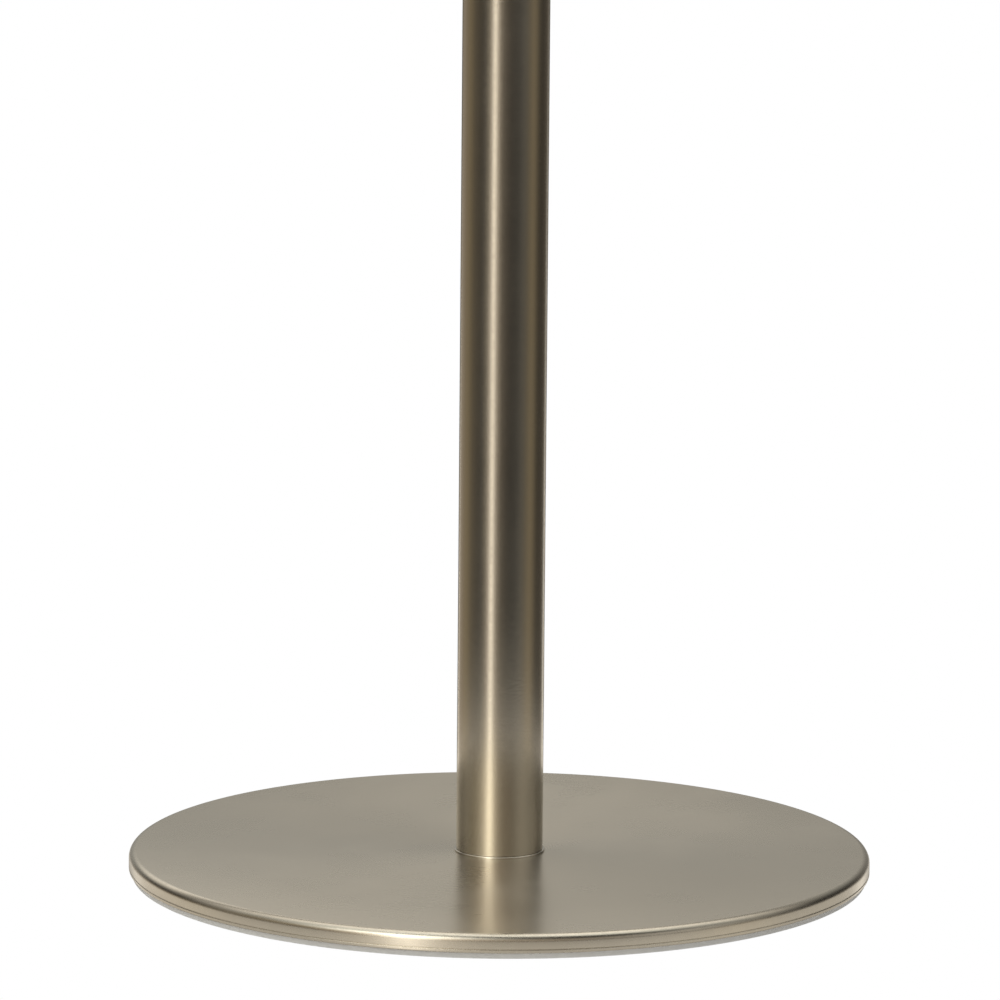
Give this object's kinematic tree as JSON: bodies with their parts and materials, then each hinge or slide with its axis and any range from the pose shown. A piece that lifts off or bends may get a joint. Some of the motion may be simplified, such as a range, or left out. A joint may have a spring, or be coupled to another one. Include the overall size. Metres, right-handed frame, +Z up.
{
  "type": "flag pole stand",
  "caption": "Free-standing round weighted base with an upright socket tube and a knurled screw clamp that holds a flag pole.",
  "frame": {"origin": "on the floor under the middle of the round base, on the tube's axis", "axes": "+Z up along the tube's axis, +X towards the clamp knob, +Y away from the front"},
  "size_m": [0.3, 0.3, 0.6],
  "materials": {
    "satin_nickel": "warm satin nickel plating with a fine pearl grain",
    "bright_nickel": "bright nickel plating",
    "cast_iron": "black-primed grey iron casting",
    "bare_steel": "turned and ground steel, lightly oiled",
    "zinc_plated_steel": "bright zinc plating",
    "black_oxide_steel": "black oxide",
    "grey_soft_plastic": "light grey soft vinyl, matt",
    "liner_foam": "thin closed-cell foam",
    "underside_felt": "charcoal needle felt",
    "black_rubber": "matt",
    "black_plastic": "moulded, fine spark-eroded texture",
    "white_nylon": "natural nylon, slightly translucent look"
  },
  "bodies": {
    "stand": {"base_cover": "satin_nickel", "cover_liner": "liner_foam", "ballast_disc": "cast_iron", "floor_ring": "grey_soft_plastic", "underside_felt": "underside_felt", "centre_screw": "black_oxide_steel", "locating_pin": "bare_steel", "foot_washer": "bright_nickel", "foot_plug": "bare_steel", "stand_tube": "satin_nickel", "pole_rest_pad": "black_rubber", "lower_guide": "black_plastic", "upper_bush": "black_plastic", "clamp_collar": "satin_nickel", "collar_set_screws": "black_oxide_steel", "clamp_boss": "satin_nickel"},
    "clamp_pad": {"clamp_pad": "white_nylon"},
    "clamp_screw": {"clamp_screw": "zinc_plated_steel", "clamp_knob": "satin_nickel", "knob_pin": "bare_steel"}
  },
  "joints": [
    {"name": "clamp_travel", "type": "slide", "parent": "stand", "child": "clamp_pad", "axis": [-1, 0, 0], "range_m": [0, 0.00313]},
    {"name": "clamp_turn", "type": "hinge", "parent": "clamp_pad", "child": "clamp_screw", "pos_m": [0.0393, 0, 0.581], "axis": [-1, 0, 0], "range_deg": [0, 900]}
  ],
  "couplings": [
    {"joint": "clamp_travel", "follows": "clamp_turn", "m_per_rad": 0.00019894}
  ]
}
